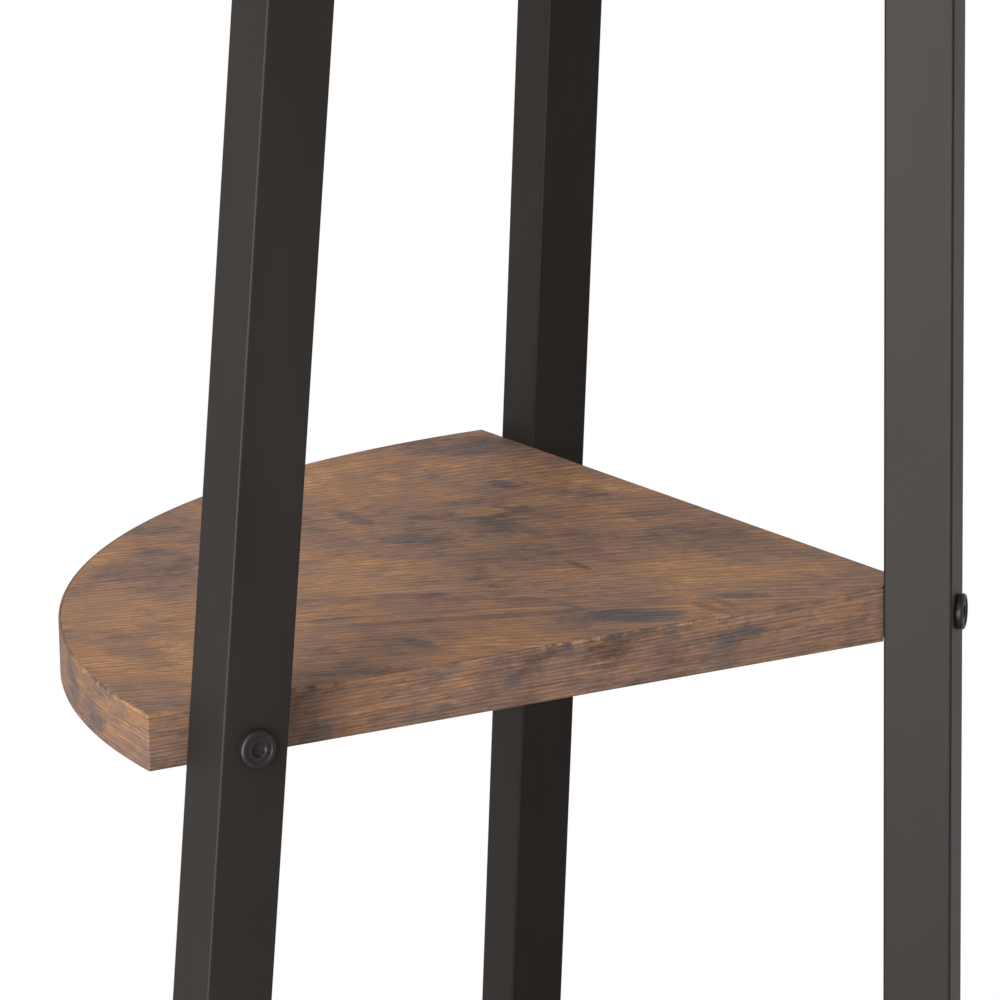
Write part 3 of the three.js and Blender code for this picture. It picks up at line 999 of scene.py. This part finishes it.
class SHELF_OT_feet(bpy.types.Operator):
    """Make the pads and threaded stems of the levelling feet"""

    bl_idname = "corner_shelf.add_feet"
    bl_label = "Levelling Feet"

    def execute(self, context):
        feet = context.scene.shelf_feet
        for column in COLUMNS:
            side = column.side
            pad = loft(f"{side}_pad_foot", self.pad(feet), column.stem_axis())
            dress(pad, moulded_plastic, f"{side}_pad", "plastic", f"{side}_foot_pad")
            stem = loft(f"{side}_stem_screw", self.stem(feet, side), column.stem_axis())
            dress(stem, zinc_plate, f"{side}_stem", "zinc", f"{side}_foot_stem")
        return {"FINISHED"}

    def pad(self, feet):
        """Round pad with a flat sole, a grooved rim, a sloping shoulder and a socket for the stem's end."""
        top = box_size("rear_foot_pad").z
        outer = feet.pad / 2
        groove = outer - feet.rim_groove
        neck = feet.neck / 2
        socket = feet.stem / 2 + 2 * GAP
        edge = feet.edge
        levels = [
            (TIP, 0),
            (outer - edge, 0),
            (outer - 0.3 * edge, 0.3 * edge),
            (outer, edge),
            (outer, 0.45 * feet.rim),
            (groove, 0.5 * feet.rim),
            (groove, 0.6 * feet.rim),
            (outer, 0.65 * feet.rim),
            (outer, feet.rim),
            (outer - 0.3 * edge, feet.rim + 0.7 * edge),
            (outer - edge, feet.rim + edge),
            (neck + 2.2 * edge, top - 2.6 * edge),
            (neck + edge, top - 2 * edge),
            (neck + 0.3 * edge, top - edge),
            (neck, top - 0.4 * edge),
            (neck - 0.3 * edge, top),
            (socket, top),
            (socket, top - feet.socket_depth),
            (TIP, top - feet.socket_depth),
        ]
        return rings(levels, PAD_SIDES)

    def stem(self, feet, side):
        """Screw with a hexagon collar below its thread and a plain end in the pad's socket."""
        low, high = heights(f"{side}_foot_stem")
        collar = box_size(f"{side}_foot_pad").z + GAP
        collar_top = collar + feet.collar_height
        radius = feet.stem / 2
        ease = feet.collar_ease
        plain_end = [(radius - CHAMFER, low), (radius, low + CHAMFER), (radius, collar)]
        hexagons = [
            (feet.collar - 2 * ease, collar),
            (feet.collar, collar + ease),
            (feet.collar, collar_top - ease),
            (feet.collar - 2 * ease, collar_top),
        ]
        made = rings(plain_end, STEM_SIDES)
        made += [hexagon_ring(flats, height, STEM_SIDES) for flats, height in hexagons]
        made += rings([(radius - feet.thread_depth, collar_top)], STEM_SIDES)
        start = collar_top + 0.4 * MM
        end = high - CHAMFER
        rows = int((end - start) / feet.pitch * THREAD_ROWS)
        for row in range(rows + 1):
            height = start + (end - start) * row / rows
            made.append(self.thread_ring(feet, height, min(1.0, row / THREAD_ROWS)))
        return made + rings([(radius - CHAMFER, high)], STEM_SIDES)

    def thread_ring(self, feet, height, grown):
        """Level section of the thread, whose crest climbs by the pitch in one turn."""
        points = []
        for i, point in enumerate(ring(1.0, height, STEM_SIDES)):
            phase = (height / feet.pitch - i / STEM_SIDES) % 1.0
            crest = 1 - abs(2 * phase - 1)
            reach = feet.stem / 2 - feet.thread_depth * (1 - grown * crest)
            points.append(Vector((point.x * reach, point.y * reach, height)))
        return points


class SHELF_OT_stage(bpy.types.Operator):
    """Set the floor, the lamps, the white surroundings and the photograph's camera"""

    bl_idname = "corner_shelf.set_stage"
    bl_label = "Stage"

    def execute(self, context):
        scene = context.scene
        stage = scene.shelf_stage
        scene.view_settings.view_transform = "Standard"
        self.camera(scene)
        self.floor(stage)
        self.surroundings(scene, stage)
        above = {"towards": (-0.4, 0.92), "elevation": 40, "distance": 3.2, "size": (2.4, 2.4)}
        level = {"towards": (-0.5, 0.87), "elevation": 0, "distance": 2.0, "size": (0.8, 1.1)}
        self.lamp("key", stage.key, (0.12, 0.12, 0.6), **above)
        self.lamp("low_front", stage.low, (0.0, -0.05, 0.4), **level)
        shine = self.lamp("shine", stage.shine, (0.0, -0.05, 0.4), **level)
        shine.visible_diffuse = False
        return {"FINISHED"}

    def camera(self, scene):
        data = bpy.data.cameras.new("photograph")
        data.lens = CAMERA_LENS
        data.sensor_width = CAMERA_SENSOR
        data.clip_start = 0.05
        data.clip_end = 200.0
        camera = bpy.data.objects.new("photograph", data)
        heading = Matrix.Rotation(CAMERA_HEADING - math.pi / 2, 4, "Z")
        tilt = Matrix.Rotation(math.pi / 2 - CAMERA_DOWN, 4, "X")
        roll = Matrix.Rotation(CAMERA_ROLL, 4, "Z")
        camera.matrix_world = Matrix.Translation(CAMERA_PLACE) @ heading @ tilt @ roll
        scene.collection.objects.link(camera)
        scene.camera = camera

    def lamp(self, name, power, target, towards, elevation, distance, size):
        """Soft oval lamp that shines at the target. towards points at it in plan from there."""
        data = bpy.data.lights.new(name, "AREA")
        data.shape = "ELLIPSE"
        data.size, data.size_y = size
        data.energy = power
        lamp = bpy.data.objects.new(name, data)
        angle = math.radians(elevation)
        back = Vector((*towards, 0)).normalized() * math.cos(angle) + Vector((0, 0, math.sin(angle)))
        lamp.location = Vector(target) + back * distance
        lamp.rotation_mode = "QUATERNION"
        lamp.rotation_quaternion = back.to_track_quat("Z", "Y")
        lamp.visible_camera = False
        bpy.context.scene.collection.objects.link(lamp)
        return lamp

    def seen(self, shader):
        """1 for what the camera sees, straight or in gloss and glass."""
        kinds = ("Is Camera Ray", "Is Glossy Ray", "Is Transmission Ray")
        straight, gloss, glass = (shader.node("ShaderNodeLightPath", {}, {}, name) for name in kinds)
        return shader.math("MINIMUM", straight + gloss + glass, 1.0)

    def blend(self, shader, factor, near, far):
        return shader.node("ShaderNodeMixShader", {}, {0: factor, 1: near, 2: far})

    def floor(self, stage):
        material, shader = new_material("pale_floor")
        away = shader.vector_math("SUBTRACT", shader.piece_place(), FLOOR_CENTRE)
        far = shader.rise(shader.vector_math("LENGTH", away, output=1), *FLOOR_FADE)
        plain = shader.node("ShaderNodeBsdfDiffuse", {}, {"Color": (*stage.floor, 1.0)})
        white = shader.node("ShaderNodeEmission", {}, {"Color": WHITE, "Strength": 1.0})
        shader.end(self.blend(shader, self.seen(shader) * far, plain, white))
        sections = rings([(radius, 0.0) for radius in FLOOR_RADII], FLOOR_SIDES)
        floor = loft("floor", sections, Matrix.Translation(FLOOR_CENTRE), "first")
        floor.data.materials.append(material)

    def surroundings(self, scene, stage):
        scene.world = bpy.data.worlds.new("white_room")
        scene.world.use_nodes = True
        shader = Shader(scene.world.node_tree)
        sky = shader.node("ShaderNodeBackground", {}, {"Color": WHITE, "Strength": stage.sky})
        white = shader.node("ShaderNodeBackground", {}, {"Color": WHITE, "Strength": 1.0})
        shader.end(self.blend(shader, self.seen(shader), sky, white), "ShaderNodeOutputWorld")


SETTINGS = {
    "shelf_boards": BoardSettings,
    "shelf_tubes": TubeSettings,
    "shelf_bolts": BoltSettings,
    "shelf_feet": FootSettings,
    "shelf_stage": StageSettings,
}
OPERATORS = (
    SHELF_OT_panels,
    SHELF_OT_bands,
    SHELF_OT_tubes,
    SHELF_OT_caps,
    SHELF_OT_bolts,
    SHELF_OT_barrels,
    SHELF_OT_feet,
    SHELF_OT_stage,
)


class SHELF_PT_sidebar(bpy.types.Panel):
    """Lists the settings and the steps"""

    bl_idname = "SHELF_PT_sidebar"
    bl_label = "Corner Shelf Unit"
    bl_space_type = "VIEW_3D"
    bl_region_type = "UI"
    bl_category = "Shelf"

    def draw(self, context):
        for operator in OPERATORS:
            self.layout.operator(operator.bl_idname)
        for name, group in SETTINGS.items():
            box = self.layout.box()
            box.label(text=group.__doc__)
            for key in group.__annotations__:
                box.prop(getattr(context.scene, name), key)


CLASSES = (*SETTINGS.values(), *OPERATORS, SHELF_PT_sidebar)


def register():
    for made in CLASSES:
        bpy.utils.register_class(made)
    for name, group in SETTINGS.items():
        setattr(bpy.types.Scene, name, bpy.props.PointerProperty(type=group))


def unregister():
    for name in SETTINGS:
        delattr(bpy.types.Scene, name)
    for made in reversed(CLASSES):
        bpy.utils.unregister_class(made)


def main():
    register()
    for operator in OPERATORS:
        group, name = operator.bl_idname.split(".")
        getattr(getattr(bpy.ops, group), name)()


if __name__ == "__main__":
    main()
